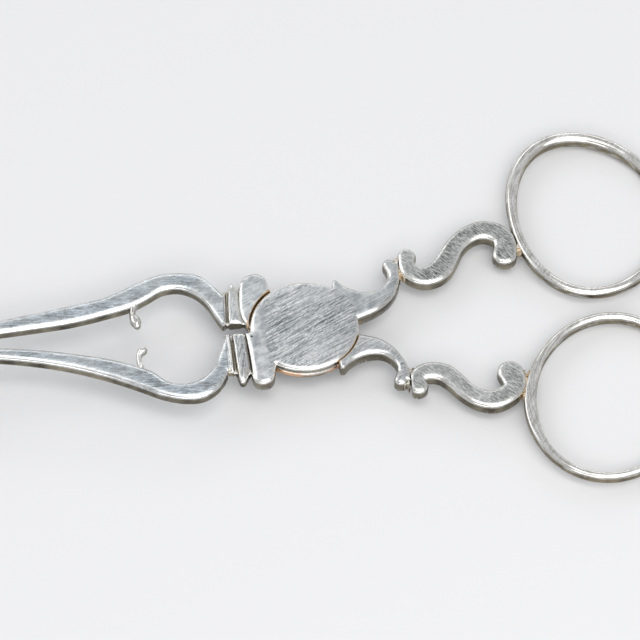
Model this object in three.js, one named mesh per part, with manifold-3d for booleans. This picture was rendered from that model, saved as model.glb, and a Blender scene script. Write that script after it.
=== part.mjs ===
// Scissor-action silver sugar nips, closed. Millimetres, +Z up.
// The origin is on the pivot axis, at the underside of the hinge. +X runs to the finger bows, -X to the jaws.
// Each half is built in its own frame: bow at +Y, jaw at -Y, the hinge's middle plane at z = 0.
// The front half stands as built. The back half is turned half a turn about X, so that the hinge plates lap.
import * as THREE from "three";
import { mergeVertices } from "three/addons/utils/BufferGeometryUtils.js";
import Module from "manifold-3d";

// Hinge: two round plates lapped on one pin
const discRadius = 7.35;
const hingeThickness = 2.0;
const plateGap = 0.08;
const shoulderClearance = 0.12;
const cuspHeight = 1.3;
const cuspTipFlat = 0.08;
const cuspAngle = 58;
const jawSideAngle = 182;
const cornerTurn = 2;
const plateBevel = 0.28;

// Pin: soldered into the blind seat of the front plate, peened flush under the back one
const pinRadius = 1.6;
const pinClearance = 0.06;
const pinSeatDepth = 0.55;
const pinHeadRadius = 2.3;
const pinHeadDepth = 0.4;

// Plate arm: the crescent from the plate's edge to the curl where the stem is soldered on
const armReach = 6.15;
const curlRadius = 0.9;
const curlTurns = [15, 215];

// Lobe: the plate's round shoulder beside the jaw
const lobeRadius = 1.6;
const lobeInset = 0.25;
const lobeMargin = 0.5;
const lobeTurns = [180, 355];

// Jaw: the reeded collar and the bowed arm, tapering to the grip
const collarLength = 2.7;
const collarDepth = 7.2;
const beadHeight = 0.22;
const grooveDepth = 0.35;
const jawReach = 37.5;
const jawSpread = 10.85;
const jawFlat = 0.5;
const jawRootThickness = 1.6;
const jawTipThickness = 1.5;
const jawBevel = 0.55;

// Tendril: the small curled spur inside each jaw
const tendrilLength = 3.35;
const tendrilWidth = 0.65;
const tendrilThickness = 0.95;
const tendrilBevel = 0.14;

// Grip: a fluted scallop shell, cupped towards the other one
const shellHalfLength = 7.0;
const shellHalfWidth = 5.7;
const shellDepth = 4.6;
const shellWall = 0.8;
const shellRimWall = 0.6;
const shellLap = 1.6;
const shellGap = 0.3;
const shellSpread = 76;
const fluteDepth = 0.4;

// Stem: the S scroll between the plate arm and the bow
const stemLength = 15.7;
const stemRise = 5.9;
const stemWidth = 2.85;
const stemThickness = 1.6;
const stemBevel = 0.42;

// Bow: the finger ring, a flattened wire
const bowHalfLength = 10.45;
const bowHalfWidth = 13.4;
const bowGap = 3.1;
const wireWidth = 1.3;
const wireThickness = 1.6;
const wireBevel = 0.42;
const bowSeatGap = 0.15;

// Solder
const solderGap = 0.06;
const solderRadius = 0.45;
const solderThickness = 0.9;
const solderSink = 0.2;
const solderSearchStep = 0.05;

// Cutters run this far past what they cut
const overrun = 1.0;

// Curved plate arm: its hollow edge from the cusp to the curl, in shares of armReach beyond the disc's edge
// and of the arm's rise, itself a share of the disc's radius
const armRiseShare = 1.43;
const lobeDropShare = 0.955;
const hollowEdgeShares = [
  [-0.03, 0.53], [0.22, 0.497], [0.46, 0.515], [0.63, 0.595], [0.715, 0.69], [0.715, 0.78],
];
// Foot of the cusp on the hollow edge: shares of cuspHeight from the cusp's middle
const cuspFootShares = [0.9, -0.7];
const curlCentreShares = [0.78, 0.912];
const seamTopShare = 0.93;
const seamHeightShare = 0.834;

// Beads and grooves of the collar: shares of collarLength from the lobe, then of bead (+) or groove (-) size
const collarProfileShares = [
  [0, -0.4], [0.06, -1], [0.12, -0.6], [0.17, 0.4], [0.3, 0.7], [0.45, 1], [0.53, 0.7], [0.6, -0.4],
  [0.69, -1], [0.77, -0.8], [0.86, 0.3], [0.93, 0.6], [1, 0.1],
];

// Plate arm's full edge, from the seam back to the notch at the disc: as for the hollow edge.
// Outer end of the collar in plan, from the lobe: shares of collarLength and of collarDepth.
// Stem scroll, curl first: centre as shares of stemLength and stemRise, width as a share of stemWidth.
// Jaw arm, collar first: inner then outer edge, each as shares of jawReach and jawSpread.
// Tendril, root first: centre as shares of tendrilLength, width as a share of tendrilWidth.
// The two halves were shaped by hand and differ a little.
const halves = {
  front: {
    fullEdgeShares: [
      [0.985, 0.8], [0.965, 0.62], [0.86, 0.445], [0.67, 0.295], [0.41, 0.175], [0.17, 0.11],
    ],
    notchAngle: 5.5,
    collarEndShares: [
      [0, 0.93], [0.1, 0.93], [0.18, 1.02], [0.28, 1.14], [0.38, 1.08], [0.5, 0.97], [0.6, 0.9],
      [0.75, 0.9], [0.88, 0.93], [1, 0.91],
    ],
    stemShares: [
      [0.073, 0.36, 0.8], [0.064, 0.16, 0.75], [0.089, -0.063, 0.8], [0.159, -0.196, 0.93],
      [0.242, -0.214, 1.02], [0.338, -0.08, 1.04], [0.414, 0.196, 0.96], [0.49, 0.554, 0.89],
      [0.592, 0.839, 0.89], [0.713, 0.991, 0.96], [0.822, 0.973, 1], [0.915, 0.768, 0.97],
      [0.933, 0.5, 1.02], [0.918, 0.26, 1.06],
    ],
    jawShares: [
      [0, 0.046, 0, 0.62], [0.022, 0.3, 0.017, 0.745], [0.049, 0.548, 0.049, 0.88],
      [0.092, 0.716, 0.092, 0.968], [0.153, 0.784, 0.151, 0.98], [0.212, 0.74, 0.225, 0.915],
      [0.268, 0.572, 0.305, 0.777], [0.327, 0.471, 0.359, 0.684], [0.412, 0.356, 0.433, 0.57],
      [0.545, 0.24, 0.556, 0.412],
      [0.692, 0.14, 0.7, 0.285], [0.825, 0.09, 0.828, 0.215], [1, 0.08, 1, 0.205],
    ],
    tendrilShares: [
      [0, -0.15, 1.8], [0.05, 0.25, 1.05], [0, 0.55, 0.9], [0.01, 0.8, 1], [0.11, 1, 1.4],
      [0.18, 1.05, 1.55],
    ],
    tendrilRootShares: [0.311, 0.515],
    bowWidthShare: 1,
    bowEggShare: 0.05,
    bowGapShare: 0.89,
    bowTilt: 5,
  },
  back: {
    fullEdgeShares: [
      [0.985, 0.8], [0.95, 0.68], [0.86, 0.555], [0.675, 0.385], [0.43, 0.262], [0.187, 0.205],
    ],
    notchAngle: 14,
    collarEndShares: [
      [0, 0.93], [0.1, 0.92], [0.18, 0.93], [0.28, 1.01], [0.42, 1.05], [0.54, 1.02], [0.64, 0.92],
      [0.78, 0.86], [0.88, 0.86], [1, 0.84],
    ],
    stemShares: [
      [0.054, 0.455, 0.75], [0.048, 0.286, 0.68], [0.064, 0.089, 0.75], [0.115, -0.045, 0.84],
      [0.191, -0.08, 0.89], [0.287, 0, 0.91], [0.369, 0.214, 0.86], [0.452, 0.5, 0.84],
      [0.548, 0.714, 0.88], [0.662, 0.804, 0.93], [0.771, 0.714, 0.93], [0.86, 0.482, 0.93],
      [0.86, 0.25, 1.05], [0.841, 0.08, 1.11],
    ],
    jawShares: [
      [0, 0.046, 0, 0.567], [0.027, 0.215, 0.02, 0.649], [0.055, 0.41, 0.049, 0.764],
      [0.092, 0.578, 0.089, 0.865], [0.153, 0.692, 0.151, 0.909], [0.215, 0.678, 0.225, 0.899],
      [0.271, 0.563, 0.3, 0.798], [0.327, 0.457, 0.359, 0.692], [0.412, 0.37, 0.428, 0.587],
      [0.545, 0.264, 0.553, 0.49], [0.692, 0.202, 0.697, 0.394], [0.825, 0.155, 0.828, 0.315],
      [1, 0.1, 1, 0.24],
    ],
    tendrilShares: [
      [0.04, -0.15, 1.8], [-0.09, 0.25, 1.15], [-0.13, 0.5, 1.05], [-0.08, 0.7, 1.4],
      [0, 0.88, 1.95], [0.04, 1.12, 1.1],
    ],
    tendrilRootShares: [0.316, 0.52],
    bowWidthShare: 0.97,
    bowEggShare: 0,
    bowGapShare: 0.11,
    bowTilt: 16,
  },
};
// The stem's bend that the bow seats on, counted from its curl, and how far round the bow to look for it
const shoulderNode = 11;
const seatSearchTurn = 270;

// Vertices closer than this are one
const weldTolerance = 1e-5;

// Counts of steps, not lengths
const arcSteps = 60;
const spanSteps = 4;
const capSteps = 6;
const rimSteps = 1;
const bowSteps = 72;
const fluteCount = 9;
const fluteSteps = 4;
const shellRows = 7;

const plateLayer = hingeThickness / 2;
const armRise = discRadius * armRiseShare;
const seamX = discRadius + armReach;
const seamY = armRise * seamHeightShare;
const collarX = -(discRadius + lobeMargin);
const jawX = collarX - collarLength;
const silver = { color: 0xc9cac6, metalness: 1, roughness: 0.3 };
const solder = { color: 0xc9a468, metalness: 1, roughness: 0.4 };

const wasm = await Module();
wasm.setup();

const radians = THREE.MathUtils.degToRad;
const degrees = THREE.MathUtils.radToDeg;
const polar = (radius, degrees) => [radius * Math.cos(radians(degrees)), radius * Math.sin(radians(degrees))];

function solidOf(geometry) {
  const bare = geometry.clone();
  bare.deleteAttribute("normal");
  bare.deleteAttribute("uv");
  const merged = mergeVertices(bare, weldTolerance);
  return new wasm.Manifold(
    new wasm.Mesh({
      numProp: 3,
      vertProperties: merged.attributes.position.array,
      triVerts: new Uint32Array(merged.index.array),
    }),
  );
}

function geometryOf(solid) {
  const mesh = solid.getMesh();
  const geometry = new THREE.BufferGeometry();
  geometry.setAttribute("position", new THREE.BufferAttribute(new Float32Array(mesh.vertProperties), 3));
  geometry.setIndex(new THREE.BufferAttribute(new Uint32Array(mesh.triVerts), 1));
  geometry.computeVertexNormals();
  return geometry;
}

// The bulk of a solid, without crumbs that a cut left behind
function largest(solid) {
  return solid.decompose().sort((a, b) => b.volume() - a.volume())[0];
}

// What lies on either side of an x
const above = (solid, x) => solid.trimByPlane([1, 0, 0], x);
const below = (solid, x) => solid.trimByPlane([-1, 0, 0], -x);

function vectors(points) {
  return points.map(([x, y]) => new THREE.Vector2(x, y));
}

// A smooth open curve through points of two or three coordinates
function smooth(points, steps = spanSteps) {
  const curve = new THREE.CatmullRomCurve3(points.map(([x, y, z = 0]) => new THREE.Vector3(x, y, z)));
  return curve.getPoints(steps * (points.length - 1)).map((p) => [p.x, p.y, p.z]);
}

function arc([x, y], radius, from, to, steps) {
  return Array.from({ length: steps + 1 }, (_, i) => {
    const [dx, dy] = polar(radius, from + ((to - from) * i) / steps);
    return [x + dx, y + dy];
  });
}

// A plan outline given thickness, centred on z = 0, with its edges bevelled inwards
function slab(outline, thickness, bevel) {
  const shape = new THREE.Shape(vectors(outline));
  const depth = thickness - 2 * bevel;
  const geometry = new THREE.ExtrudeGeometry(shape, {
    depth,
    bevelThickness: bevel,
    bevelSize: bevel,
    bevelOffset: -bevel,
    bevelSegments: 1,
    bevelEnabled: bevel > 0,
  });
  return geometry.translate(0, 0, -depth / 2);
}

// Upright cylinder between two heights
function post(radius, low, high, [x, y] = [0, 0]) {
  const geometry = new THREE.CylinderGeometry(radius, radius, high - low, arcSteps);
  return solidOf(geometry.rotateX(Math.PI / 2).translate(x, y, (low + high) / 2));
}

// Levels of a bar from its lower face to its upper one:
// side of the middle plane, then inset and drop as shares of the bevel
const rimLevels = Array.from({ length: 2 * rimSteps + 2 }, (_, i) => {
  const side = i > rimSteps ? 1 : -1;
  const turn = radians((90 * (side > 0 ? 2 * rimSteps + 1 - i : i)) / rimSteps);
  return [side, 1 - Math.sin(turn), 1 - Math.cos(turn)];
});

// Triangles between two rows of point numbers
function ladder(faces, row, next) {
  for (let i = 0; i + 1 < row.length; i++)
    faces.push(row[i], row[i + 1], next[i + 1], row[i], next[i + 1], next[i]);
}

function solidOfFaces(points, faces) {
  const geometry = new THREE.BufferGeometry();
  geometry.setAttribute("position", new THREE.BufferAttribute(new Float32Array(points.flat()), 3));
  geometry.setIndex(faces);
  return solidOf(geometry);
}

// A bar in plan with bevelled edges, through spans of centre [x, y], half breadth vector [x, y] and thickness
function bar(spans, bevel, roundEnds) {
  const points = [];
  const rows = rimLevels.map(([side, inset, drop]) => {
    const point = ([[x, y], [hx, hy], thickness], turn) => {
      const share = 1 - (bevel * inset) / Math.hypot(hx, hy);
      const [cos, sin] = polar(share, turn);
      return [x + hx * cos - hy * sin, y + hx * sin + hy * cos, side * (thickness / 2 - bevel * drop)];
    };
    const cap = (span, from) => {
      const count = roundEnds ? capSteps - 1 : 0;
      const turns = Array.from({ length: count }, (_, i) => (180 * (i + 1)) / capSteps);
      return turns.map((turn) => point(span, from + turn));
    };
    const ring = [
      ...spans.map((span) => point(span, 180)),
      ...cap(spans.at(-1), -180),
      ...spans.map((span) => point(span, 0)).reverse(),
      ...cap(spans[0], 0),
    ];
    points.push(...ring);
    return ring.map((_, i) => points.length - ring.length + i);
  });
  const faces = [];
  for (let i = 0; i + 1 < rows.length; i++)
    ladder(faces, [...rows[i], rows[i][0]], [...rows[i + 1], rows[i + 1][0]]);
  const lid = (row) => {
    const ends = roundEnds ? capSteps - 1 : 0;
    const right = row.slice(0, spans.length);
    const left = row.slice(spans.length + ends, 2 * spans.length + ends).reverse();
    const found = [];
    ladder(found, right, left);
    const fan = (rim) => rim.slice(1, -1).forEach((_, i) => found.push(rim[0], rim[i + 1], rim[i + 2]));
    fan([...row.slice(spans.length - 1, spans.length + ends), left.at(-1)]);
    fan([left[0], ...row.slice(2 * spans.length + ends), right[0]]);
    return found;
  };
  return solidOfFaces(points, [...faces, ...lid(rows[0]).reverse(), ...lid(rows.at(-1))]);
}

// A brush stroke in metal: a bar with round ends through nodes of [x, y, width]
function stroke(nodes, thickness, bevel, grow = 0) {
  const line = smooth(nodes);
  const spans = line.map(([x, y, width], i) => {
    const [a, b] = [line[Math.max(i - 1, 0)], line[Math.min(i + 1, line.length - 1)]];
    const heading = Math.atan2(b[1] - a[1], b[0] - a[0]);
    const reach = width / 2 + grow;
    return [[x, y], [-reach * Math.sin(heading), reach * Math.cos(heading)], thickness + 2 * grow];
  });
  return bar(spans, bevel, true);
}

// A closed hoop of flattened wire, placed by a function of turn and distance outside its middle line
function hoop(place, width, thickness, bevel) {
  const outer = rimLevels.map(([side, inset, drop]) => [
    width / 2 - bevel * inset,
    side * (thickness / 2 - bevel * drop),
  ]);
  const section = [...outer, ...outer.map(([across, z]) => [-across, z]).reverse()];
  const points = [];
  const rows = Array.from({ length: bowSteps }, (_, i) => {
    const ring = section.map(([across, z]) => [...place((360 * i) / bowSteps, across), z]);
    points.push(...ring);
    return ring.map((_, j) => points.length - ring.length + j);
  });
  const faces = [];
  rows.forEach((row, i) => {
    const next = rows[(i + 1) % bowSteps];
    ladder(faces, [...next, next[0]], [...row, row[0]]);
  });
  return solidOfFaces(points, faces);
}

// Hinge plate with its lobe at the jaw and its crescent arm at the bow
function plateOutline(half) {
  const armPoint = ([x, y]) => [discRadius + armReach * x, armRise * y];
  const [cuspX, cuspY] = polar(discRadius + cuspHeight, cuspAngle);
  const cuspFoot = [cuspX + cuspHeight * cuspFootShares[0], cuspY + cuspHeight * cuspFootShares[1]];
  const cuspTipWidth = 2 * plateBevel + cuspTipFlat;
  const lobeCentre = [collarX + lobeInset + lobeRadius, -discRadius * lobeDropShare];
  const lobeEnd = degrees(Math.atan2(lobeCentre[1], lobeCentre[0] + lobeRadius));
  return [
    ...smooth([polar(discRadius, half.notchAngle), ...half.fullEdgeShares.map(armPoint).reverse()]),
    [seamX, armRise * seamTopShare],
    ...arc(armPoint(curlCentreShares), curlRadius, ...curlTurns, capSteps),
    ...smooth([
      ...hollowEdgeShares.map(armPoint).reverse(),
      cuspFoot,
      [cuspX + cuspTipWidth / 2, cuspY],
    ]),
    [cuspX - cuspTipWidth / 2, cuspY],
    ...arc([0, 0], discRadius, cuspAngle - cornerTurn, jawSideAngle, arcSteps / 3),
    [collarX, -jawFlat],
    ...arc(lobeCentre, lobeRadius, ...lobeTurns, 2 * capSteps),
    ...arc([0, 0], discRadius, lobeEnd - cornerTurn, half.notchAngle - cornerTurn / 2, arcSteps / 3),
  ];
}

// The lapped disc is half the thickness of the rest
function hingePlate(half) {
  const whole = solidOf(slab(plateOutline(half), hingeThickness, plateBevel));
  const lap = post(discRadius + shoulderClearance, -plateLayer - overrun, plateGap / 2);
  return below(whole.subtract(lap), seamX - solderGap / 2);
}

// Reeded collar: a moulding drawn across the jaw, cut to its plan outline
function collar(half) {
  const width = 2 * collarDepth;
  const height = (share) => jawRootThickness / 2 + (share > 0 ? beadHeight : grooveDepth) * share;
  const along = (share) => -collarLength * share;
  const upper = collarProfileShares.map(([x, z]) => [along(x), height(z)]);
  const lower = collarProfileShares.map(([x, z]) => [along(x), -height(z)]).reverse();
  const reeds = new THREE.ExtrudeGeometry(new THREE.Shape(vectors([...upper, ...lower])), {
    depth: width,
    bevelEnabled: false,
  });
  reeds.rotateX(Math.PI / 2).translate(collarX, 0, 0);
  const plan = [
    [collarX, -jawFlat],
    [jawX, -jawFlat],
    ...half.collarEndShares.map(([x, y]) => [collarX + along(x), -collarDepth * y]).reverse(),
  ];
  const trimmed = solidOf(reeds).intersect(solidOf(slab(plan, width, 0)));
  return above(below(trimmed, collarX - solderGap / 2), jawX + solderGap / 2);
}

const jawPoint = (x, y) => [jawX - jawReach * x, -jawSpread * y];

function jawArmSolid(half) {
  const inner = smooth(half.jawShares.map(([x, y]) => jawPoint(x, y)));
  const outer = smooth(half.jawShares.map(([, , x, y]) => jawPoint(x, y)));
  const spans = inner.map(([x, y], i) => {
    const middle = [(x + outer[i][0]) / 2, (y + outer[i][1]) / 2];
    const along = (jawX - middle[0]) / jawReach;
    const thickness = THREE.MathUtils.lerp(jawRootThickness, jawTipThickness, along);
    return [middle, [(outer[i][0] - x) / 2, (outer[i][1] - y) / 2], thickness];
  });
  return bar(spans, jawBevel, false);
}

function jawArm(half) {
  return largest(jawArmSolid(half).subtract(shellSolid(solderGap)));
}

// Scallop shell: flutes fan out from its hinge end over a domed back, round a smooth hollow
function shellSolid(grow = 0) {
  const hingeX = jawX - jawReach + shellLap;
  const columns = fluteCount * fluteSteps;
  const spot = (row, column, back) => {
    const across = column / columns;
    const turn = radians(shellSpread * (2 * across - 1));
    const [along, off] = [Math.cos(turn), Math.sin(turn)];
    const wave = (1 - Math.cos(2 * Math.PI * fluteCount * across)) / 2;
    const [long, wide] = [shellHalfLength + grow, shellHalfWidth + grow];
    const rim = (2 * long * wide ** 2 * along) / ((wide * along) ** 2 + (long * off) ** 2);
    const reach = (rim - fluteDepth * (1 - wave)) * (row / shellRows);
    const [x, z] = [reach * along, reach * off];
    const ring = Math.hypot((x - long) / long, z / wide);
    const swell = (share) => Math.sqrt(Math.max(0, 1 - Math.min(1, ring * share) ** 2));
    const flute = fluteDepth * (1 - wave) * Math.min(1, (2 * row) / shellRows);
    const height = back
      ? shellRimWall + grow + (shellDepth - shellRimWall) * swell(1) - flute * swell(1)
      : (shellDepth - shellWall) * swell(1 + shellWall / shellHalfWidth);
    return [hingeX + grow - x, -shellGap / 2 - height, z];
  };
  const points = [];
  const faces = [];
  const rims = [true, false].map((back) => {
    const pole = points.push(spot(0, 0, back)) - 1;
    const grid = Array.from({ length: columns + 1 }, (_, column) => [
      pole,
      ...Array.from({ length: shellRows }, (_, row) => points.push(spot(row + 1, column, back)) - 1),
    ]);
    const found = [];
    for (let i = 0; i < columns; i++) {
      found.push(pole, grid[i + 1][1], grid[i][1]);
      ladder(found, grid[i + 1].slice(1), grid[i].slice(1));
    }
    faces.push(...(back ? found : found.reverse()));
    const edge = grid.slice(1, -1).map((line) => line.at(-1));
    return [...grid[0], ...edge, ...grid.at(-1).slice(1).reverse(), pole];
  });
  ladder(faces, rims[0], rims[1]);
  return solidOfFaces(points, faces);
}

function tendril(half) {
  const [rootX, rootY] = jawPoint(...half.tendrilRootShares);
  const nodes = half.tendrilShares.map(([x, y, width]) => [
    rootX + tendrilLength * x,
    rootY + tendrilLength * y,
    tendrilWidth * width,
  ]);
  return stroke(nodes, tendrilThickness, tendrilBevel);
}

function stemNodes(half) {
  return half.stemShares.map(([x, y, width]) => [
    seamX + stemLength * x,
    seamY + stemRise * y,
    stemWidth * width,
  ]);
}

// Distance in plan from a point to the stem's edge
function clearOfStem(half, [x, y]) {
  const clear = ([nodeX, nodeY, width]) => Math.hypot(x - nodeX, y - nodeY) - width / 2;
  return Math.min(...smooth(stemNodes(half)).map(clear));
}

function stemSolid(half, grow = 0) {
  return stroke(stemNodes(half), stemThickness, stemBevel, grow);
}

// Points of the bow at a distance outside its middle line, from its centre: an oval, flatter on its stem side
function bowPoint(half, turn, outside) {
  const [cosTurn, sinTurn] = polar(1, turn);
  const egg = bowHalfLength * half.bowEggShare * Math.cos(2 * radians(turn));
  const x = (bowHalfLength + outside) * cosTurn + egg;
  const y = (bowHalfWidth * half.bowWidthShare + outside) * sinTurn;
  const [cos, sin] = polar(1, half.bowTilt);
  return [x * cos - y * sin, x * sin + y * cos];
}

// The bow clears the middle line by its share of the gap and seats on the last bend of the stem
function bowPlace(half) {
  const [shoulderX, shoulderY, width] = stemNodes(half)[shoulderNode];
  const turns = Array.from({ length: seatSearchTurn }, (_, turn) => turn);
  const outer = turns.map((turn) => bowPoint(half, turn, wireWidth / 2));
  const y = Math.max(...outer.map(([, height]) => height)) + bowGap * half.bowGapShare;
  const past = outer.findIndex(([, height]) => y + height < shoulderY);
  return { centre: [shoulderX + width / 2 + bowSeatGap - outer[past][0], y], touch: turns[past] };
}

function bowSolid(half, grow = 0) {
  const [x, y] = bowPlace(half).centre;
  const place = (turn, outside) => {
    const [dx, dy] = bowPoint(half, turn, outside);
    return [x + dx, y + dy];
  };
  return hoop(place, wireWidth + 2 * grow, wireThickness + 2 * grow, wireBevel);
}

function stem(half) {
  return largest(above(stemSolid(half), seamX + solderGap / 2).subtract(bowSolid(half, solderGap)));
}

// A fillet of solder: a bead in the crotch between two pieces, cut back to both
function solderBead(spot, neighbours) {
  const bead = post(solderRadius, -solderThickness / 2, solderThickness / 2, spot);
  return largest(neighbours.reduce((left, piece) => left.subtract(piece), bead));
}

// The beads lie where the stem has left the seam, or the bow, by the bead's radius
function besideSeam(half) {
  let y = seamY;
  while (clearOfStem(half, [seamX, y]) < solderRadius) y -= solderSearchStep;
  return [seamX + solderRadius / 2, y];
}

function besideBow(half, step) {
  const { centre, touch } = bowPlace(half);
  const spot = (turn, outside) => bowPoint(half, turn, outside).map((value, i) => value + centre[i]);
  let turn = touch;
  while (clearOfStem(half, spot(turn, wireWidth / 2)) < solderRadius) turn += step;
  return spot(turn, (wireWidth + solderRadius) / 2);
}

function solderBeads(half, plate) {
  const nudges = [
    [solderGap, 0, 0],
    [0, solderGap, 0],
    [0, -solderGap, 0],
  ];
  const plateGrown = nudges.map((nudge) => plate.translate(nudge)).reduce((sum, moved) => sum.add(moved));
  const stemGrown = above(stemSolid(half, solderGap), seamX - solderGap / 2);
  const bowGrown = bowSolid(half, solderGap);
  const onCurl = [seamX - solderSink, armRise * seamTopShare + solderRadius];
  return {
    stem_solder_inner: solderBead(besideSeam(half), [plateGrown, stemGrown]),
    stem_solder_outer: solderBead(onCurl, [plateGrown, stemGrown]),
    bow_solder_inner: solderBead(besideBow(half, 1), [stemGrown, bowGrown]),
    bow_solder_outer: solderBead(besideBow(half, -1), [stemGrown, bowGrown]),
  };
}

// Pin: a round shank with a flush head at its peened end
function pinSolid(clearance) {
  const foot = -plateLayer - (clearance > 0 ? overrun : 0);
  const profile = [
    [0, foot],
    [pinHeadRadius + clearance, foot],
    [pinHeadRadius + clearance, -plateLayer],
    [pinRadius + clearance, -plateLayer + pinHeadDepth],
    [pinRadius + clearance, plateGap / 2 + pinSeatDepth + clearance],
    [0, plateGap / 2 + pinSeatDepth + clearance],
  ];
  const points = profile.filter(([x, y], i) => i === 0 || x !== profile[i - 1][0] || y !== profile[i - 1][1]);
  const lathe = new THREE.LatheGeometry(vectors(points), arcSteps);
  return solidOf(lathe.rotateX(Math.PI / 2));
}

function pieces(name) {
  const half = halves[name];
  const plate = hingePlate(half);
  const arm = jawArm(half);
  // The back plate is built turned over, so the pin meets it from its other side
  const bore = name === "front" ? pinSolid(pinClearance) : pinSolid(pinClearance).rotate([180, 0, 0]);
  return {
    hinge_plate: plate.subtract(bore),
    reeded_collar: collar(half),
    jaw_arm: arm,
    tendril: largest(tendril(half).subtract(arm).subtract(arm.translate([0, solderGap, 0]))),
    shell_grip: shellSolid(),
    stem_scroll: stem(half),
    bow: bowSolid(half),
    ...solderBeads(half, plate),
  };
}

function halfGroup(name) {
  const group = new THREE.Group();
  for (const [piece, solid] of Object.entries(pieces(name))) {
    const finish = piece.includes("solder") ? solder : silver;
    const mesh = new THREE.Mesh(geometryOf(solid), new THREE.MeshStandardMaterial(finish));
    mesh.name = `${name}_${piece}`;
    group.add(mesh);
  }
  group.position.z = plateLayer;
  return group;
}

const nips = new THREE.Group();
const front = halfGroup("front");
const back = halfGroup("back");
back.rotation.x = Math.PI;
const pin = new THREE.Mesh(geometryOf(pinSolid(0)), new THREE.MeshStandardMaterial(silver));
pin.name = "pivot_pin";
front.add(pin);
nips.add(front, back);

export default nips;
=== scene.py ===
# Scissor-action silver sugar nips, dressed for a studio picture.
# Sizes are in millimetres, angles in degrees; metres come in when a mesh or a material is made.
# +Z up, the origin on the pivot axis under the hinge. Each half is built in its own frame: bow at +Y,
# jaw at -Y, the hinge's middle plane at z = 0.
import math
from types import SimpleNamespace

import bmesh
import bpy
import numpy as np
from mathutils import Matrix, Vector, geometry


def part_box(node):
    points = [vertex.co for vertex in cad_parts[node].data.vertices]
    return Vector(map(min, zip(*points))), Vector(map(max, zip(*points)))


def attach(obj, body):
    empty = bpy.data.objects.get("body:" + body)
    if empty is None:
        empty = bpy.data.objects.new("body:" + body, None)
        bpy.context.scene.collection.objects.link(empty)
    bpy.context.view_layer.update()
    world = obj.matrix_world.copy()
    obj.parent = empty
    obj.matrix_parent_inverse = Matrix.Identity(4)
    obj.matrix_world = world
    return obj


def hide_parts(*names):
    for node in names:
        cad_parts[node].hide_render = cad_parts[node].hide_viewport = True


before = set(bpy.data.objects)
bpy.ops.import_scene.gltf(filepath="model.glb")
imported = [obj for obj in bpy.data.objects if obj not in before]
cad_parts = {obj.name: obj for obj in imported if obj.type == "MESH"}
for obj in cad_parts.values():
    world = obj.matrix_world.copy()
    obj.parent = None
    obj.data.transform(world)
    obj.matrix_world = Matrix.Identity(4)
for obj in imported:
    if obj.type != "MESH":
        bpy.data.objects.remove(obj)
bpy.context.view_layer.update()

MM = 0.001

# Edges are rounded by this power: 2 is a quarter circle, 1 a flat bevel; undersides drop less than tops
edge_power = 2.0
under_share = 0.4

# Sampling in plan: pitches, counts of grid cells, and the rings of points that follow a rounded edge
plan_pitch = 0.09
outline_pitch = 0.12
stroke_pitch = 0.04
tendril_pitch = 0.05
solder_pitch = 0.06
ring_pitch_share = 1.1
ring_tilts = (70, 54, 40, 27, 13, 0)
margin_cells = 2
near_cells = 6
coarse_cells = 4
inner_cells = 5
batch = 4000
merge_distance = 1e-5
weld_distance = 1e-7

# Hinge
disc_radius = 7.35
hinge_thickness = 2.0
plate_gap = 0.08
shoulder_clearance = 0.1
cusp_height = 1.3
cusp_tip_width = 0.5
cusp_sharpness = 2.0
cusp_angle = 58
jaw_side_angle = 182
corner_turn = 2
plate_edge = 0.85
plate_drop = 0.48
shoulder_flare = 0.22
shoulder_flare_turns = (90, 75, 60, 45, 30, 15, 0)
jaw_side_fall = 0.2
jaw_side_start = 5.0
jaw_side_power = 1.5

# Pin
pin_radius = 1.6
pin_clearance = 0.06
pin_seat_depth = 0.55
pin_head_radius = 2.3
pin_head_depth = 0.4
pin_head_edge = 0.08
bore_below = 1
bore_above = 0.05

# Plate arm and lobe
arm_reach = 6.15
arm_rise = disc_radius * 1.43
curl_radius = 0.9
curl_turns = (15, 215)
lobe_margin = 0.5
lobe_right = 3.45
lobe_turns = (180, 355)
lobe_corner_turn = -124.1

# Collar: powers under 1 square its section off
collar_length = 2.7
collar_depth = 7.35
bead_height = 0.22
groove_depth = 0.45
collar_slope = 0.75
collar_round = 0.12
collar_round_power = 6
collar_outer_power = 0.5
collar_inner_power = 0.22
collar_height_power = 0.5

# Jaw
jaw_reach = 37.5
jaw_spread = 10.85
jaw_root_thickness = 1.7
jaw_tip_thickness = 1.55
jaw_edge = 1.1
jaw_drop = 0.5
jaw_far_growth = 0.34
jaw_far_start = 2.5
jaw_growth = 0.08

# Tendril
tendril_length = 3.35
tendril_width = 0.65
tendril_thickness = 1.3
tendril_thickness_share = 1.15
tendril_power = 2.1
tendril_cap_turns = (20, 40, 55, 70, 80, 87)

# Shell
shell_half_length = 7.0
shell_half_width = 5.7
shell_depth = 4.6
shell_wall = 0.8
shell_rim_wall = 0.6
shell_lap = 1.6
shell_gap = 0.3
shell_spread = 76
flute_depth = 0.4
flute_inside_share = 0.35
flute_power = 0.75
flute_count = 9
flute_steps = 14
shell_rows = 30

# Stem
stem_length = 15.7
stem_rise = 5.9
stem_width = 3.15
stem_thickness = 1.8
stem_edge = 0.9
stem_drop = 0.5

# Bow
bow_half_length = 10.45
bow_half_width = 13.4
bow_gap = 3.1
wire_width = 1.3
wire_thickness = 1.6
bow_seat_gap = 0.15
bow_flat_radians = 0.42
wire_power = 2.1

# Solder: the gap it fills, how far it bites over the edges and spreads from them, and its height
solder_gap = 0.06
solder_reach = 1.1
solder_bite = 0.16
solder_spread = 0.75
solder_height = 1.3
solder_edge = 0.22
solder_window = 1.6
solder_wobbles = [(0.05, 9, 4), (0.04, 0, 17)]

lap_level = hinge_thickness / 2
seam_x = disc_radius + arm_reach
seam_y = arm_rise * 0.834
collar_x = -(disc_radius + lobe_margin)
jaw_x = collar_x - collar_length

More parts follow.
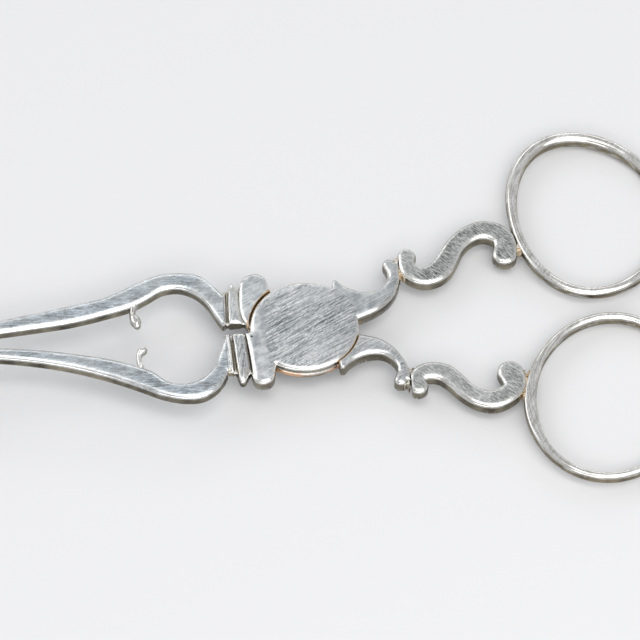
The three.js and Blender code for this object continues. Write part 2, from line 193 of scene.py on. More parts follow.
# The plate arm's hollow edge from the cusp to the curl: shares of arm_reach beyond the disc, and of arm_rise
hollow_edge_shares = [
    (-0.03, 0.53), (0.22, 0.497), (0.46, 0.515), (0.63, 0.595), (0.715, 0.69), (0.715, 0.78),
]
# Foot of the cusp on the hollow edge: shares of cusp_height from the cusp's middle
cusp_foot_shares = (0.9, -0.7)
curl_centre_shares = (0.78, 0.912)
seam_top_share = 0.93

# What differs between the halves: the plate arm's full edge; the lobe's side, as distances out and insets;
# the collar's beads and grooves along its length, and its outer end; the stem's centre and width; the jaw's
# inner and outer edge; the tendril's centre and width; the bow's size, place and tilt, and its wire's growth
front_half = SimpleNamespace(
    full_edge_shares=[
        (0.985, 0.8), (0.965, 0.62), (0.86, 0.445), (0.67, 0.295), (0.41, 0.175), (0.17, 0.11),
    ],
    notch_angle=5.5,
    lobe_side=[(0.5, -0.15), (3.5, 0.12), (7.5, 0.42)],
    lobe_reach=9.07,
    jaw_flat=0.5,
    collar_profile_shares=[
        (0, -0.3), (0.03, -0.5), (0.06, -0.2), (0.1, 0.5), (0.3, 0.75), (0.45, 1), (0.55, 0.8), (0.62, 0),
        (0.68, -0.8), (0.73, -0.8), (0.79, 0), (0.84, 0.5), (0.9, 0.3), (1, 0),
    ],
    collar_lean=0.08,
    collar_end_shares=[
        (0, 0.97), (0.1, 1.02), (0.2, 1.1), (0.3, 1.165), (0.4, 1.18), (0.5, 1.165), (0.59, 1.07),
        (0.68, 0.95), (0.8, 0.935), (1, 0.925),
    ],
    stem_shares=[
        (0.073, 0.36, 0.8), (0.064, 0.16, 0.75), (0.089, -0.063, 0.8), (0.159, -0.196, 0.93),
        (0.242, -0.214, 1.02), (0.338, -0.08, 1.04), (0.414, 0.196, 0.96), (0.49, 0.554, 0.89),
        (0.592, 0.839, 0.89), (0.713, 0.991, 0.96), (0.822, 0.973, 1), (0.915, 0.768, 0.97),
        (0.933, 0.5, 1.02), (0.918, 0.26, 1.06),
    ],
    jaw_shares=[
        (0, 0.046, 0, 0.62), (0.022, 0.3, 0.017, 0.745), (0.049, 0.548, 0.049, 0.88),
        (0.092, 0.716, 0.092, 0.968), (0.153, 0.784, 0.151, 0.98), (0.212, 0.74, 0.225, 0.915),
        (0.268, 0.572, 0.305, 0.777), (0.327, 0.471, 0.359, 0.684), (0.412, 0.356, 0.433, 0.57),
        (0.545, 0.24, 0.556, 0.412), (0.692, 0.14, 0.7, 0.285), (0.825, 0.09, 0.828, 0.215),
        (1, 0.08, 1, 0.205),
    ],
    tendril_shares=[
        (0, -0.15, 2.6), (0.05, 0.22, 1.4), (0, 0.5, 1.1), (0.01, 0.78, 1.3), (0.1, 0.98, 1.75),
        (0.17, 1.04, 1.8),
    ],
    tendril_root_shares=(0.311, 0.515),
    bow_width_share=1,
    bow_egg_share=0.05,
    bow_gap_share=0.89,
    bow_tilt=5,
    bow_flat_share=0.05,
    bow_flat_shift=0,
    bow_power_growth=0.8,
    bow_growth_share=0.22,
    bow_far_growth_share=0.3,
)
back_half = SimpleNamespace(
    full_edge_shares=[
        (0.985, 0.8), (0.95, 0.68), (0.86, 0.555), (0.675, 0.385), (0.43, 0.262), (0.187, 0.205),
    ],
    notch_angle=14,
    lobe_side=[(1, 0), (2, -0.42), (3.2, -0.66), (5, -0.7), (6.5, -0.6), (7.5, -0.45)],
    lobe_reach=9.35,
    jaw_flat=1.0,
    collar_profile_shares=[
        (0, -0.6), (0.05, -0.4), (0.12, 0.1), (0.2, 0.5), (0.4, 0.75), (0.55, 1), (0.64, 0.8), (0.72, 0),
        (0.78, -0.6), (0.86, -0.7), (0.92, -0.2), (0.96, 0.35), (1, 0),
    ],
    collar_lean=0.24,
    collar_end_shares=[
        (0, 0.97), (0.07, 0.955), (0.15, 0.97), (0.24, 1.02), (0.34, 1.07), (0.44, 1.095), (0.54, 1.085),
        (0.64, 1.03), (0.74, 0.96), (0.84, 0.92), (1, 0.89),
    ],
    stem_shares=[
        (0.058, 0.33, 0.8), (0.05, 0.2, 0.7), (0.066, 0.05, 0.74), (0.115, -0.05, 0.84),
        (0.191, -0.08, 0.89), (0.287, 0, 0.91), (0.369, 0.214, 0.86), (0.452, 0.5, 0.84),
        (0.548, 0.714, 0.88), (0.662, 0.804, 0.93), (0.771, 0.714, 0.93), (0.86, 0.482, 0.93),
        (0.86, 0.25, 1.05), (0.841, 0.08, 1.11),
    ],
    jaw_shares=[
        (0, 0.046, 0, 0.567), (0.027, 0.215, 0.02, 0.649), (0.055, 0.41, 0.049, 0.764),
        (0.092, 0.578, 0.089, 0.865), (0.153, 0.692, 0.151, 0.909), (0.215, 0.678, 0.225, 0.899),
        (0.271, 0.563, 0.3, 0.798), (0.327, 0.457, 0.359, 0.692), (0.412, 0.37, 0.428, 0.587),
        (0.545, 0.264, 0.553, 0.49), (0.692, 0.202, 0.697, 0.394), (0.825, 0.155, 0.828, 0.315),
        (1, 0.1, 1, 0.24),
    ],
    tendril_shares=[
        (0.04, -0.15, 2.4), (-0.08, 0.25, 1.4), (-0.12, 0.47, 1.25), (-0.08, 0.66, 1.75), (0, 0.86, 2.35),
        (0.05, 1.06, 1.5),
    ],
    tendril_root_shares=(0.316, 0.52),
    bow_width_share=0.97,
    bow_egg_share=0,
    bow_gap_share=0.11,
    bow_tilt=16,
    bow_flat_share=0.28,
    bow_flat_shift=-14,
    bow_power_growth=2.4,
    bow_growth_share=0.03,
    bow_far_growth_share=0.1,
)
halves = {"front": front_half, "back": back_half}
# The stem's node that the bow is seated on, and how far round the bow its seat is looked for
shoulder_node = 11
seat_search_turn = 270


# Plane curves
def polar(radius, degrees):
    return (radius * math.cos(math.radians(degrees)), radius * math.sin(math.radians(degrees)))


def smooth(points, steps=12):
    """A centripetal Catmull-Rom curve through points of any number of coordinates."""
    nodes = [np.array(p, float) for p in points]
    nodes = [2 * nodes[0] - nodes[1], *nodes, 2 * nodes[-1] - nodes[-2]]
    curve = []
    for p0, p1, p2, p3 in zip(nodes, nodes[1:], nodes[2:], nodes[3:]):
        spans = ((p0, p1), (p1, p2), (p2, p3))
        d0, d1, d2 = (max(np.linalg.norm(b - a), 1e-6) ** 0.5 for a, b in spans)
        leave = ((p1 - p0) / d0 - (p2 - p0) / (d0 + d1) + (p2 - p1) / d1) * d1
        arrive = ((p2 - p1) / d1 - (p3 - p1) / (d1 + d2) + (p3 - p2) / d2) * d1
        for i in range(steps):
            t = i / steps
            cubic = (2 * p1 - 2 * p2 + leave + arrive) * t**3
            square = (-3 * p1 + 3 * p2 - 2 * leave - arrive) * t**2
            curve.append(cubic + square + leave * t + p1)
    return np.array([*curve, nodes[-2]])


def arc(centre, radius, start, end, steps):
    turns = np.linspace(start, end, steps + 1)
    return [tuple(np.add(centre, polar(radius, turn))) for turn in turns]


def resampled(line, pitch, closed=False):
    line = np.asarray(line, float)
    if closed:
        line = np.vstack([line, line[:1]])
    along = np.concatenate([[0], np.cumsum(np.linalg.norm(np.diff(line[:, :2], axis=0), axis=1))])
    count = max(3, round(along[-1] / pitch))
    marks = np.linspace(0, along[-1], count + 1)[: -1 if closed else None]
    return np.stack([np.interp(marks, along, line[:, i]) for i in range(line.shape[1])], 1)


# Signed distances in plan, negative inside
def in_batches(measure):
    """A distance that measures some of the points at a time, so that its tables stay small."""

    def distance(points):
        found = np.empty(len(points))
        for start in range(0, len(points), batch):
            found[start : start + batch] = measure(points[start : start + batch, None, :])
        return found

    return distance


def polygon_distance(outline):
    a = resampled(outline, outline_pitch, closed=True)
    b = np.roll(a, -1, axis=0)
    edge = b - a
    length = (edge**2).sum(1)

    def measure(p):
        t = np.clip(((p - a) * edge).sum(2) / length, 0, 1)
        near = np.sqrt((((a + t[:, :, None] * edge) - p) ** 2).sum(2).min(1))
        above = (a[:, 1] <= p[:, :, 1]) & (b[:, 1] > p[:, :, 1])
        below = (a[:, 1] > p[:, :, 1]) & (b[:, 1] <= p[:, :, 1])
        side = edge[:, 0] * (p[:, :, 1] - a[:, 1]) - (p[:, :, 0] - a[:, 0]) * edge[:, 1]
        winding = (above & (side > 0)).sum(1) - (below & (side < 0)).sum(1)
        return np.where(winding != 0, -near, near)

    return in_batches(measure)


def stroke_distance(nodes):
    line = resampled(smooth(nodes), stroke_pitch)

    def measure(p):
        return (np.sqrt(((p - line[:, :2]) ** 2).sum(2)) - line[:, 2] / 2).min(1)

    return in_batches(measure)


def loops_at(field, level, low, pitch):
    """Closed lines where a sampled field crosses a level, by the sides of its cells."""
    inside = field < level
    corners = [(0, 0), (1, 0), (1, 1), (0, 1)]
    rows, columns = inside.shape
    mixed = sum(inside[i : rows - 1 + i, j : columns - 1 + j].astype(int) for i, j in corners)
    follows = {}
    spots = {}
    for i, j in zip(*np.nonzero((mixed > 0) & (mixed < 4))):
        leaving = []
        entering = []
        ring = [(i + across, j + up) for across, up in corners]
        for a, b in zip(ring, ring[1:] + ring[:1]):
            if inside[a] == inside[b]:
                continue
            key = (min(a, b), max(a, b))
            if key not in spots:
                t = (level - field[a]) / (field[b] - field[a])
                spots[key] = [low[n] + pitch * (a[n] + t * (b[n] - a[n])) for n in (0, 1)]
            (leaving if inside[a] else entering).append(key)
        for start, end in zip(entering, leaving if len(leaving) == 1 else leaving[::-1]):
            follows[end] = start
    loops = []
    while follows:
        key = next(iter(follows))
        loop = []
        while key in follows:
            loop.append(spots[key])
            key = follows.pop(key)
        loops.append(np.array(loop))
    return [loop for loop in loops if len(loop) > 8]


# Meshes
def placed(name, data):
    piece = bpy.data.objects.new(name, data)
    bpy.context.scene.collection.objects.link(piece)
    return piece


def make(name, vertices, faces, half, sharp=38):
    """A mesh in the frame, from a half's own frame in millimetres; the back half is turned over about X."""
    points = np.array(vertices, float)
    if half == "back":
        points = points * (1, -1, -1)
    points = (points + (0, 0, lap_level)) * MM
    mesh = bpy.data.meshes.new(name)
    mesh.from_pydata(points.tolist(), [], faces)
    mesh.validate()
    mesh.shade_smooth()
    mesh.set_sharp_from_angle(angle=math.radians(sharp))
    return placed(name, mesh)


def sampled(distance, grid, reach):
    """The distance over a grid: worked out near the outline, and taken from a coarser grid elsewhere."""
    shape = grid.shape[:2]
    rows, columns = (np.append(np.arange(0, n, coarse_cells), n - 1) for n in shape)
    coarse = distance(grid[np.ix_(rows, columns)].reshape(-1, 2)).reshape(len(rows), len(columns))
    across = np.array([np.interp(np.arange(shape[1]), columns, line) for line in coarse])
    field = np.array([np.interp(np.arange(shape[0]), rows, line) for line in across.T]).T
    near = np.abs(field) < reach
    field[near] = distance(grid[near])
    return field


def pillow(name, distance, low, high, thickness, edge, half, pitch=plan_pitch, drop=None, bevel=None):
    """A flat piece with rounded edges: they take a width in plan and a drop from its faces.

    The thickness may be a function of the plan points, and the bevel may follow a distance of its own.
    """
    drop = edge if drop is None else drop
    margin = margin_cells * pitch
    low = np.subtract(low, margin)
    counts = np.ceil((np.add(high, margin) - low) / pitch).astype(int) + 1
    xs, ys = (low[n] + pitch * np.arange(counts[n]) for n in (0, 1))
    grid = np.stack(np.meshgrid(xs, ys, indexing="ij"), -1)
    field = sampled(distance, grid, edge + near_cells * pitch)
    outline = max((resampled(loop, pitch, closed=True) for loop in loops_at(field, 0, low, pitch)), key=len)
    rings = []
    for tilt in ring_tilts:
        inset = edge * (1 - math.sin(math.radians(tilt)))
        loops = loops_at(field, -inset, low, pitch)
        rings += [resampled(loop, pitch * ring_pitch_share, closed=True) for loop in loops]
    inner = grid[::inner_cells, ::inner_cells].reshape(-1, 2)
    inner = inner[field[::inner_cells, ::inner_cells].reshape(-1) < -edge - margin]
    plan = [Vector(p) for p in np.vstack([outline, *rings, inner])]
    found = geometry.delaunay_2d_cdt(plan, [], [list(range(len(outline)))], 1, merge_distance)
    flat, triangles, origins = np.array([tuple(p) for p in found[0]]), found[2], found[3]
    depth = -(bevel or distance)(flat)
    rim = {}
    for i, origin in enumerate(origins):
        for o in origin:
            if o < len(outline):
                rim[o] = i
                depth[i] = depth[i] if bevel and depth[i] > pitch else 0
    full = thickness(flat) if callable(thickness) else thickness
    fall = 1 - (1 - (1 - np.clip(depth / edge, 0, 1)) ** edge_power) ** (1 / edge_power)
    count = len(flat)
    faces = [tuple(t) for t in triangles] + [tuple(i + count for i in reversed(t)) for t in triangles]
    rim = [rim[o] for o in sorted(rim)]
    faces += [(a, a + count, b + count, b) for a, b in zip(rim, rim[1:] + rim[:1]) if a != b]
    if area_of(flat[list(triangles[0])]) < 0:
        faces = [tuple(reversed(f)) for f in faces]
    drops = (drop, drop * under_share) if half == "front" else (drop * under_share, drop)
    top, base = (full / 2 - d * fall for d in drops)
    return make(name, np.vstack([np.column_stack([flat, top]), np.column_stack([flat, -base])]), faces, half)


def area_of(corners):
    a, b, c = corners[:3]
    return (b[0] - a[0]) * (c[1] - a[1]) - (c[0] - a[0]) * (b[1] - a[1])


def grid_faces(rows, columns, closed_rows=False, closed_columns=False):
    faces = []
    for i in range(rows if closed_rows else rows - 1):
        for j in range(columns if closed_columns else columns - 1):
            a, b = i * columns + j, i * columns + (j + 1) % columns
            c, d = (i + 1) % rows * columns + j, (i + 1) % rows * columns + (j + 1) % columns
            faces.append((a, b, d, c))
    return faces


def end_faces(count, sides):
    """The faces that close both ends of a grid of rings."""
    return [tuple(reversed(range(sides))), tuple(range(count - sides, count))]


def tube(name, line, half, sides=24, closed=False):
    """A tube along [x, y, width, thickness, power]; power takes its section from oval (2) towards a box."""
    line = np.asarray(line, float)
    if closed:
        ahead = np.roll(line, -1, axis=0) - np.roll(line, 1, axis=0)
    else:
        ahead = np.gradient(line[:, :2], axis=0)
    heading = np.arctan2(ahead[:, 1], ahead[:, 0])
    turns = 2 * math.pi * (np.arange(sides) + 0.5) / sides
    rows = []
    for (x, y, width, thickness, power), turn in zip(line, heading):
        across = np.sign(np.cos(turns)) * np.abs(np.cos(turns)) ** (2 / power) * width / 2
        up = np.sign(np.sin(turns)) * np.abs(np.sin(turns)) ** (2 / power) * thickness / 2
        rows += [(x + a * math.sin(turn), y - a * math.cos(turn), u) for a, u in zip(across, up)]
    faces = grid_faces(len(line), sides, closed_rows=closed, closed_columns=True)
    if not closed:
        faces += end_faces(len(rows), sides)
    return make(name, rows, faces, half)


def cut(piece, *cutters):
    """Takes the cutters out of a piece and deletes them."""
    bpy.context.view_layer.update()
    for cutter in cutters:
        modifier = piece.modifiers.new("cut", "BOOLEAN")
        modifier.operation = "DIFFERENCE"
        modifier.solver = "EXACT"
        modifier.object = cutter
    graph = bpy.context.evaluated_depsgraph_get()
    mesh = bpy.data.meshes.new_from_object(piece.evaluated_get(graph))
    piece.modifiers.clear()
    piece.data = mesh
    mesh.name = piece.name
    for cutter in cutters:
        bpy.data.objects.remove(cutter)
    return piece


def lathe(name, profile, half, steps=96):
    """A profile of (radius, height) turned round the pivot's axis and capped at both ends."""
    turns = np.linspace(0, 2 * math.pi, steps + 1)[:-1]
    points = [(r * math.cos(t), r * math.sin(t), z) for t in turns for r, z in profile]
    count = len(profile)
    low, high = len(points), len(points) + 1
    points += [(0, 0, profile[0][1]), (0, 0, profile[-1][1])]
    starts = [i * count for i in range(steps)]
    pairs = list(zip(starts, starts[1:] + starts[:1]))
    faces = [(a + j, b + j, b + j + 1, a + j + 1) for a, b in pairs for j in range(count - 1)]
    faces += [(low, b, a) for a, b in pairs]
    faces += [(high, a + count - 1, b + count - 1) for a, b in pairs]
    return make(name, points, faces, half, sharp=30)


# The pieces of a half
def plate_outline(half):
    spec = halves[half]
    arm_point = lambda share: (disc_radius + arm_reach * share[0], arm_rise * share[1])
    cusp_x, cusp_y = polar(disc_radius + cusp_height, cusp_angle)
    cusp_foot = (cusp_x + cusp_height * cusp_foot_shares[0], cusp_y + cusp_height * cusp_foot_shares[1])
    inset = spec.lobe_side[-1][1]
    lobe_radius = (lobe_right - inset) / 2
    lobe = (collar_x + inset + lobe_radius, lobe_radius - spec.lobe_reach)
    side_depths = np.linspace(spec.jaw_flat, -lobe[1], num=24)
    full_edge = [polar(disc_radius, spec.notch_angle), *map(arm_point, reversed(spec.full_edge_shares))]
    cusp_tip = (cusp_x + cusp_tip_width / 2, cusp_y)
    hollow_edge = [*map(arm_point, reversed(hollow_edge_shares)), cusp_foot, cusp_tip]
    return [
        *map(tuple, smooth(full_edge)),
        (seam_x, arm_rise * seam_top_share),
        *arc(arm_point(curl_centre_shares), curl_radius, *curl_turns, steps=24),
        *map(tuple, smooth(hollow_edge)),
        (cusp_x - cusp_tip_width / 2, cusp_y),
        *arc((0, 0), disc_radius, cusp_angle - corner_turn, jaw_side_angle, steps=90),
        *((lobe_side(half, depth), -depth) for depth in side_depths),
        *arc(lobe, lobe_radius, *lobe_turns, steps=40),
        *arc((0, 0), disc_radius, lobe_corner_turn, spec.notch_angle - corner_turn / 2, steps=90),
    ]


def plate_thickness(points):
    """The plates thin a little towards the jaws."""
    past = np.clip((-jaw_side_start - points[:, 0]) / (disc_radius - jaw_side_start), 0, 1)
    return hinge_thickness - 2 * jaw_side_fall * past**jaw_side_power


def hinge_plate(half):
    """A plate with its arm and lobe, cut to half its thickness over the other plate's disc, and bored."""
    outline = np.array(plate_outline(half))
    outline_distance = polygon_distance(outline)
    cusp = polar(disc_radius + cusp_height, cusp_angle)

    def bevel(points):
        near = ((points - cusp) ** 2).sum(1) / cusp_height**2
        return outline_distance(points) * (1 + cusp_sharpness * np.exp(-near))

    def distance(points):
        return np.maximum(outline_distance(points), points[:, 0] - (seam_x - solder_gap / 2))

    low, high = outline.min(0), outline.max(0)
    plate = pillow(f"{half}_plate", distance, low, high, plate_thickness, plate_edge, half,
                   drop=plate_drop, bevel=bevel)
    shoulder = disc_radius + shoulder_clearance
    flare = [(shoulder + shoulder_flare * (1 - math.cos(t)), -lap_level + shoulder_flare * (1 - math.sin(t)))
             for t in np.radians(shoulder_flare_turns)]
    below = (flare[0][0] + shoulder_flare, flare[0][1] - shoulder_flare)
    lap = lathe("lap", [below, *flare, (shoulder, plate_gap / 2)], half, steps=160)
    bore = [(r + pin_clearance, z) for r, z in pin_profile()]
    bore[0] = (bore[0][0], bore[0][1] - bore_below)
    bore[-1] = (bore[-1][0], bore[-1][1] + bore_above)
    if half == "back":
        bore = [(r, -z) for r, z in reversed(bore)]
    return cut(plate, lap, lathe("bore", bore, half))


def pin_profile():
    return [
        (pin_head_radius, -lap_level),
        (pin_head_radius, -lap_level + pin_head_edge),
        (pin_radius, -lap_level + pin_head_depth),
        (pin_radius, plate_gap / 2 + pin_seat_depth),
    ]


def pivot_pin():
    return lathe("pin", pin_profile(), "front")


def lobe_side(half, depth):
    """The lobe's side towards the collar, at a distance out from the pivot's line."""
    depths, insets = zip(*halves[half].lobe_side)
    return collar_x + np.interp(depth, depths, insets)


def signed_power(value, power):
    return math.copysign(abs(value) ** power, value)


def collar(half):
    """Sections along the jaw, each with a rounded inner end and a longer, sloping outer one."""
    spec = halves[half]
    rise = smooth(spec.collar_profile_shares)
    ends = smooth(spec.collar_end_shares)
    joint = solder_gap / 2
    steps, sides = 90, 64
    rows = []
    for share in np.linspace(0, 1, steps + 1):
        deep = np.interp(share, ends[:, 0], ends[:, 1]) * collar_depth
        for side in range(sides):
            turn = 2 * math.pi * (side + 0.5) / sides
            end_power = collar_outer_power if math.cos(turn) > 0 else collar_inner_power
            outwards = signed_power(math.cos(turn), end_power)
            lean = spec.collar_lean * outwards * 2 * share * (1 - share)
            height = np.interp(share + lean, rise[:, 0], rise[:, 1])
            height = jaw_root_thickness / 2 + (bead_height if height > 0 else groove_depth) * height
            z = height * signed_power(math.sin(turn), collar_height_power)
            slope = (z / height) ** 2
            outer = deep - collar_slope * slope**2
            inner = spec.jaw_flat + collar_round * slope**collar_round_power
            y = (inner + outer) / 2 + (outer - inner) / 2 * outwards
            start = lobe_side(half, y) - joint
            rows.append((start + (jaw_x + joint - start) * share, -y, z))
    faces = grid_faces(steps + 1, sides, closed_columns=True)
    faces += end_faces(len(rows), sides)
    return make(f"{half}_collar", rows, [tuple(reversed(f)) for f in faces], half, sharp=60)


def jaw_point(x, y):
    return (jaw_x - jaw_reach * x, -jaw_spread * y)


def jaw_thickness(points):
    along = np.clip((jaw_x - points[:, 0]) / jaw_reach, 0, 1)
    return jaw_root_thickness + (jaw_tip_thickness - jaw_root_thickness) * along


def jaw_arm(half):
    shares = halves[half].jaw_shares
    inner = smooth([jaw_point(*s[:2]) for s in shares])
    outer = smooth([jaw_point(*s[2:]) for s in shares])
    inner[:, 1] = np.minimum(inner[:, 1], -halves[half].jaw_flat)
    far = inner if half == "front" else outer
    far_side = 1 if half == "front" else -1
    far[:, 1] += far_side * jaw_far_growth * np.clip((jaw_x - far[:, 0]) / jaw_far_start, 0, 1)
    root = np.array([(collar_x, inner[0, 1]), (collar_x, outer[0, 1])])
    outline = np.vstack([root[:1], inner, outer[::-1], root[1:]])
    shape = polygon_distance(outline)
    inside = lambda points: shape(points) - jaw_growth
    start = jaw_x - solder_gap / 2

    def distance(points):
        return np.maximum(inside(points), points[:, 0] - start)

    low, high = outline.min(0), outline.max(0)
    return pillow(f"{half}_jaw", distance, low, high, jaw_thickness, jaw_edge, half,
                  drop=jaw_drop, bevel=inside)


def tendril(half):
    """A tapering tube that swells towards its tip and ends in a round cap."""
    spec = halves[half]
    root = jaw_point(*spec.tendril_root_shares)
    nodes = [(root[0] + tendril_length * x, root[1] + tendril_length * y, tendril_width * w)
             for x, y, w in spec.tendril_shares]
    line = resampled(smooth(nodes), tendril_pitch)
    radius = line[-1, 2] / 2
    ahead = line[-1, :2] - line[-2, :2]
    ahead /= np.linalg.norm(ahead)
    cap = [(*(line[-1, :2] + ahead * radius * math.sin(t)), line[-1, 2] * math.cos(t))
           for t in np.radians(tendril_cap_turns)]
    line = np.vstack([line, cap])
    thick = np.minimum(tendril_thickness, line[:, 2] * tendril_thickness_share)
    power = np.full(len(line), tendril_power)
    return tube(f"{half}_spur", np.column_stack([line, thick, power]), half)


def shell(half):
    """A scallop shell: flutes fan out from its hinge end over a domed back, round a smooth hollow."""
    hinge_x = jaw_x - jaw_reach + shell_lap
    columns, rows = flute_count * flute_steps, shell_rows

    def spot(row, column, back):
        across = column / columns
        turn = math.radians(shell_spread * (2 * across - 1))
        along, off = math.cos(turn), math.sin(turn)
        wave = abs(math.sin(math.pi * flute_count * across)) ** flute_power
        long, wide = shell_half_length, shell_half_width
        edge = 2 * long * wide**2 * along / ((wide * along) ** 2 + (long * off) ** 2)
        reach = (edge - flute_depth * (1 - wave)) * math.sin(math.pi / 2 * row / rows)
        x, z = reach * along, reach * off
        ring = math.hypot((x - long) / long, z / wide)
        flute = flute_depth * (1 - wave) * min(1, 2 * row / rows)
        if back:
            swell = dome(ring)
            height = shell_rim_wall + (shell_depth - shell_rim_wall) * swell - flute * swell
        else:
            swell = dome(ring * (1 + shell_wall / shell_half_width))
            height = max(0, (shell_depth - shell_wall) * swell - flute_inside_share * flute * dome(ring))
        return (hinge_x - x, -shell_gap / 2 - height, z)

    points, faces, rims = [], [], []
    for back in (True, False):
        start = len(points)
        points += [spot(r, c, back) for c in range(columns + 1) for r in range(rows + 1)]
        sheet = [tuple(start + i for i in f) for f in grid_faces(columns + 1, rows + 1)]
        faces += sheet if back else [tuple(reversed(f)) for f in sheet]
        first, last = ([start + c * (rows + 1) + r for r in range(rows)] for c in (0, columns))
        tips = [start + c * (rows + 1) + rows for c in range(columns + 1)]
        rims.append([*first, *tips, *reversed(last)])
    faces += zip(rims[0], rims[0][1:], rims[1][1:], rims[1])
    piece = make(f"{half}_shell", points, [tuple(reversed(f)) for f in faces], half, sharp=45)
    weld(piece)
    return piece


def dome(ring):
    """The height of a half ball at a share of its radius."""
    return math.sqrt(max(0, 1 - min(1, ring) ** 2))


def weld(piece):
    """Joins the points that coincide, and turns the faces outwards."""
    mesh = bmesh.new()
    mesh.from_mesh(piece.data)
    bmesh.ops.remove_doubles(mesh, verts=mesh.verts, dist=weld_distance)
    bmesh.ops.recalc_face_normals(mesh, faces=mesh.faces)
    mesh.to_mesh(piece.data)
    mesh.free()


def stem_nodes(half):
    return [(seam_x + stem_length * x, seam_y + stem_rise * y, stem_width * w)
            for x, y, w in halves[half].stem_shares]


def bow_point(half, turn, outside=0.0):
    spec = halves[half]
    c, s = polar(1, turn)
    egg = bow_half_length * spec.bow_egg_share * math.cos(2 * math.radians(turn))
    x = (bow_half_length + outside) * c + egg
    y = (bow_half_width * spec.bow_width_share + outside) * s
    cos, sin = polar(1, spec.bow_tilt)
    return (x * cos - y * sin, x * sin + y * cos)


def bow_centre(half):
    shoulder_x, shoulder_y, width = stem_nodes(half)[shoulder_node]
    outer = [bow_point(half, turn, wire_width / 2) for turn in range(seat_search_turn)]
    y = max(p[1] for p in outer) + bow_gap * halves[half].bow_gap_share
    seat = next(p for p in outer if y + p[1] < shoulder_y)
    return np.array([shoulder_x + width / 2 + bow_seat_gap - seat[0], y])


def bow_line(half):
    centre = bow_centre(half)
    return np.array([centre + bow_point(half, turn) for turn in range(360)])


def stem(half):
    nodes = stem_nodes(half)
    inside = stroke_distance(nodes)
    ring = polygon_distance(bow_line(half))
    start = seam_x + solder_gap / 2

    def distance(points):
        free = np.maximum(inside(points), start - points[:, 0])
        return np.maximum(free, wire_width / 2 + solder_gap - ring(points))

    line = np.array(nodes)
    low = (line[:, :2] - line[:, 2:] / 2).min(0)
    high = (line[:, :2] + line[:, 2:] / 2).max(0)
    return pillow(f"{half}_stem", distance, low, high, stem_thickness, stem_edge, half,
                  drop=stem_drop, bevel=inside)


def bow(half):
    """A hoop of wire: flattest where the stem meets it, thinnest on its side towards the other bow."""
    spec = halves[half]
    line = bow_line(half)
    turns = 2 * math.pi * np.arange(len(line)) / len(line)
    shoulder = stem_nodes(half)[shoulder_node][:2]
    seat = turns[np.linalg.norm(line - shoulder, axis=1).argmin()] + math.radians(spec.bow_flat_shift)
    near_stem = np.exp(-((np.angle(np.exp(1j * (turns - seat))) / bow_flat_radians) ** 2))
    far = np.sin(turns) if half == "front" else -np.sin(turns)
    away = (1 - near_stem) * np.maximum(far, 0)
    width = wire_width * (1 + spec.bow_flat_share * near_stem + spec.bow_growth_share * (1 - near_stem)
                          + spec.bow_far_growth_share * away)
    thick = wire_thickness * (1 + spec.bow_far_growth_share * away)
    power = wire_power + spec.bow_power_growth * near_stem
    rows = np.column_stack([line, width, thick, power])
    return tube(f"{half}_ring", rows, half, sides=40, closed=True)


def blend(a, b, reach):
    """A smooth union of two distances: it fills the crotch between two pieces with a hollow fillet."""
    h = np.clip(0.5 + 0.5 * (b - a) / reach, 0, 1)
    return b + (a - b) * h - reach * h * (1 - h)


def solder(half, joint, side):
    """Solder that ran along a seam and filled the crotch at one end of it."""
    stem_inside = stroke_distance(stem_nodes(half))
    if joint == "stem":
        other = polygon_distance(plate_outline(half))
    else:
        ring = polygon_distance(bow_line(half))
        other = lambda points: np.abs(ring(points)) - wire_width / 2
    flip = -1 if half == "back" else 1
    beads = {end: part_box(f"{half}_{joint}_solder_{end}") for end in ("inner", "outer")}
    middles = {end: ((low + high) / 2 / MM).y for end, (low, high) in beads.items()}
    split = sum(middles.values()) / 2 * flip
    upper = (middles[side] == max(middles.values())) == (flip > 0)

    def distance(points):
        a, b = stem_inside(points), other(points)
        wobble = sum(size * np.sin(i * points[:, 0] + j * points[:, 1]) for size, i, j in solder_wobbles)
        run = np.maximum(blend(a, b, solder_reach) + wobble, -np.minimum(a, b) - solder_bite)
        run = np.maximum(run, np.maximum(a, b) - solder_spread + wobble)
        return np.maximum(run, split - points[:, 1] if upper else points[:, 1] - split)

    low, high = beads[side]
    centre = np.array([(low.x + high.x) / 2 / MM, (low.y + high.y) / 2 / MM * flip])
    return pillow(f"{half}_{joint}_run_{side}", distance, centre - solder_window, centre + solder_window,
                  solder_height, solder_edge, half, pitch=solder_pitch)


# Materials: the scale of a noise is in features per metre
recess_width = 0.7
scratch_depth = 0.03
lump_depth = 0.12

# On the hinge: the smooth jaw side, the tan shoulder's softness, the bare copper rim below it, and a pit
smooth_side = (-5.3, -4.9)
tan_soft = 0.08
copper_inset, copper_outset, copper_soft = 0.5, 0.06, 0.04
copper_heights = (0.05, 0.98, 0.15)
copper_along = (-4, 5)
pit_spot = (-7.1, -1.3, 1.8)
pit_edge = (0.1, 0.2)

# On the collar: how low its groove is darkened by painted shade, partly tarnish, how far that runs, and the
# spots on its outer ends
groove_heights = (0.5, 0.72)
groove_span = (1.6, 6.3, 0.4)
clean_bead_width = 1.4
spot_span = (6.5, 9, 0.4)

# On the bows: how far the painted highlight and shade lines run round the hoop for each radian
line_turn_length = 0.9

# How far the edges of the marks wander
wander = {"side": 1.6, "tan": 0.25, "copper": 0.5, "copper_along": 2.5, "groove": 0.12, "spot": 0.8}


